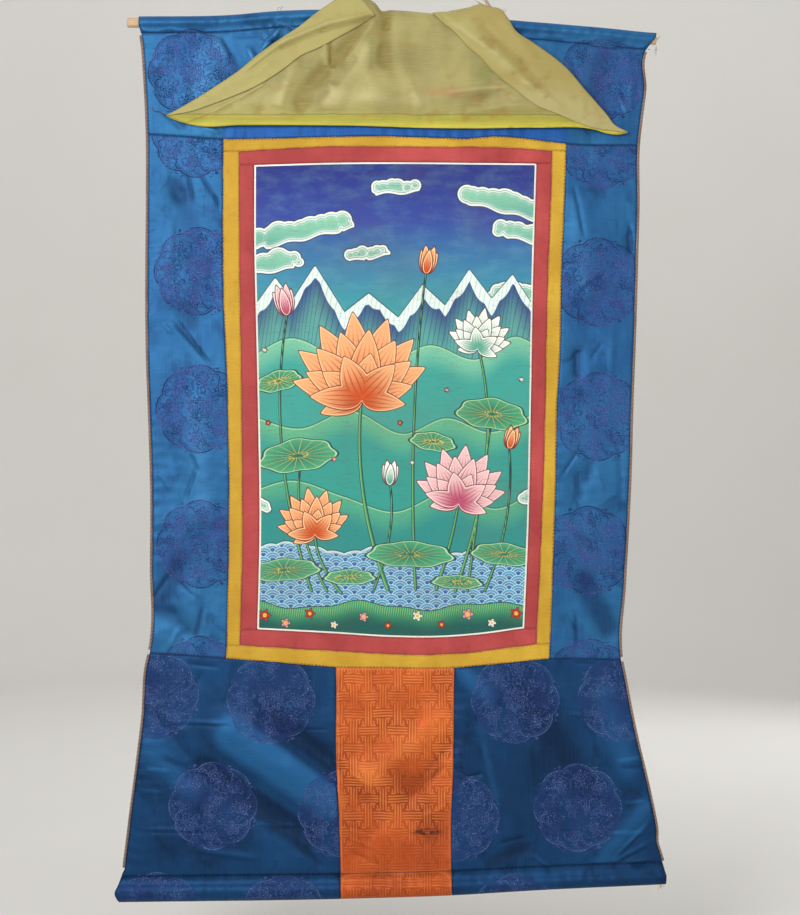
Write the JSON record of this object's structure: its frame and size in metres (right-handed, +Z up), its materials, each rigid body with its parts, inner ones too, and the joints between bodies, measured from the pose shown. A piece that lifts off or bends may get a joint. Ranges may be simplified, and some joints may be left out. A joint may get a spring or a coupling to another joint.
{
  "type": "thangka scroll painting on its hanging rod and cord",
  "caption": "Painted cloth in yellow and red silk borders, set in a blue brocade mount with an orange door panel, a lifted silk veil, rods and a hanging cord.",
  "frame": {"origin": "top of the hanging cord's loop, where a nail or hook on the wall holds the object", "axes": "+Z up along the hanging cloth, +X to the right as seen from the front, the painting faces -Y"},
  "size_m": [0.6343, 0.0304, 1.1397],
  "materials": {
    "pale_wood": "bare, weathered",
    "pale_cotton_cord": "twisted cotton",
    "blue_brocade": "satin with woven medallions",
    "dark_blue_brocade": "satin with woven medallions",
    "orange_brocade": "satin with a woven key fret",
    "yellow_silk": "soft silk",
    "red_silk": "soft silk",
    "painted_canvas": "matt mineral paint",
    "piping": "woven trim",
    "veil_silk": "thin crumpled silk"
  },
  "bodies": {
    "root": {"top_rod": "pale_wood", "bottom_rod": "pale_wood", "cord_lashing_left": "pale_cotton_cord", "cord_lashing_right": "pale_cotton_cord", "hanging_cord": "pale_cotton_cord", "top_panel": "blue_brocade", "side_panel_left": "blue_brocade", "side_panel_right": "blue_brocade", "lower_panel_left": "dark_blue_brocade", "lower_panel_right": "dark_blue_brocade", "door_panel": "orange_brocade", "outer_border_top": "yellow_silk", "outer_border_bottom": "yellow_silk", "outer_border_left": "yellow_silk", "outer_border_right": "yellow_silk", "inner_border_top": "red_silk", "inner_border_bottom": "red_silk", "inner_border_left": "red_silk", "inner_border_right": "red_silk", "painting_canvas": "painted_canvas", "piping_upper_left": "piping", "piping_lower_left": "piping", "piping_upper_right": "piping", "piping_lower_right": "piping", "veil": "veil_silk"}
  },
  "joints": []
}
